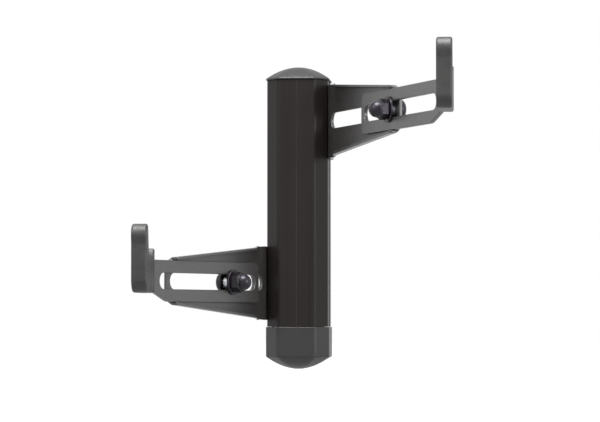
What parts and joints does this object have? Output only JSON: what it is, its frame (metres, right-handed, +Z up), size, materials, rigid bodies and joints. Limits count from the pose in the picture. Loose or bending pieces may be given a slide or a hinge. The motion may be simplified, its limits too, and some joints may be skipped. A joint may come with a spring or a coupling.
{
  "type": "wall-mounted bicycle rack",
  "caption": "Wall post with two slotted arms that slide up, down and out, each ending in a rubber-lined hook that carries a bicycle by its top tube.",
  "frame": {"origin": "middle of the wall rail's back face, on the wall's surface and on the post's middle line", "axes": "+X to the right as seen from the room, +Y into the wall, +Z up"},
  "size_m": [0.2873, 0.4195, 0.2947],
  "materials": {
    "anodised_black": "black anodised extrusion, satin, faint lines along its length",
    "cap_plastic": "moulded black plastic, fine satin grain",
    "powder_coat": "fine-textured black powder coat on steel",
    "rubber": "dull black moulded rubber",
    "zinc_steel": "bright zinc plate",
    "black_steel": "black zinc on machined steel"
  },
  "bodies": {
    "post": {"post_extrusion": "anodised_black", "wall_rail": "zinc_steel", "top_cap": "cap_plastic", "bottom_cap": "cap_plastic", "bottom_cap_screw": "black_steel", "left_lock_screw": "zinc_steel", "right_lock_screw": "zinc_steel", "wall_screw_1": "zinc_steel", "wall_washer_1": "zinc_steel", "wall_screw_2": "zinc_steel", "wall_washer_2": "zinc_steel", "wall_screw_3": "zinc_steel", "wall_washer_3": "zinc_steel", "wall_screw_4": "zinc_steel", "wall_washer_4": "zinc_steel"},
    "left_carriage": {"left_bracket": "powder_coat", "left_nut_bar": "zinc_steel", "left_foot_washer_1": "black_steel", "left_foot_washer_2": "black_steel", "left_foot_bolt_1": "black_steel", "left_foot_bolt_2": "black_steel"},
    "left_slider": {"left_arm": "powder_coat", "left_cradle_cover": "rubber"},
    "left_clamp": {"left_clamp_bolt": "black_steel", "left_clamp_sleeve": "zinc_steel", "left_outer_washer": "black_steel", "left_inner_washer": "black_steel"},
    "left_nut": {"left_cap_nut": "black_steel"},
    "right_carriage": {"right_bracket": "powder_coat", "right_nut_bar": "zinc_steel", "right_foot_washer_1": "black_steel", "right_foot_washer_2": "black_steel", "right_foot_bolt_1": "black_steel", "right_foot_bolt_2": "black_steel"},
    "right_slider": {"right_arm": "powder_coat", "right_cradle_cover": "rubber"},
    "right_clamp": {"right_clamp_bolt": "black_steel", "right_clamp_sleeve": "zinc_steel", "right_outer_washer": "black_steel", "right_inner_washer": "black_steel"},
    "right_nut": {"right_cap_nut": "black_steel"}
  },
  "joints": [
    {"name": "left_height", "type": "slide", "parent": "post", "child": "left_carriage", "axis": [0, 0, 1], "range_m": [-0.0059, 0.162]},
    {"name": "left_reach", "type": "slide", "parent": "left_carriage", "child": "left_slider", "axis": [-0.4226, -0.9063, 0], "range_m": [-0.0032, 0.0768]},
    {"name": "left_clamp_shift", "type": "slide", "parent": "left_slider", "child": "left_clamp", "axis": [-0.4226, -0.9063, 0], "range_m": [-0.0348, 0.02]},
    {"name": "left_nut_turn", "type": "hinge", "parent": "left_clamp", "child": "left_nut", "pos_m": [-0.05641, -0.11016, -0.064], "axis": [0.9063, -0.4226, 0], "range_deg": [0, 540]},
    {"name": "right_height", "type": "slide", "parent": "post", "child": "right_carriage", "axis": [0, 0, 1], "range_m": [-0.1639, 0.004]},
    {"name": "right_reach", "type": "slide", "parent": "right_carriage", "child": "right_slider", "axis": [0.4226, -0.9063, 0], "range_m": [-0.08, 0]},
    {"name": "right_clamp_shift", "type": "slide", "parent": "right_slider", "child": "right_clamp", "axis": [0.4226, -0.9063, 0], "range_m": [-0.0538, 0.0013]},
    {"name": "right_nut_turn", "type": "hinge", "parent": "right_clamp", "child": "right_nut", "pos_m": [0.09698, -0.19716, 0.094], "axis": [-0.9063, -0.4226, 0], "range_deg": [0, 540]}
  ]
}
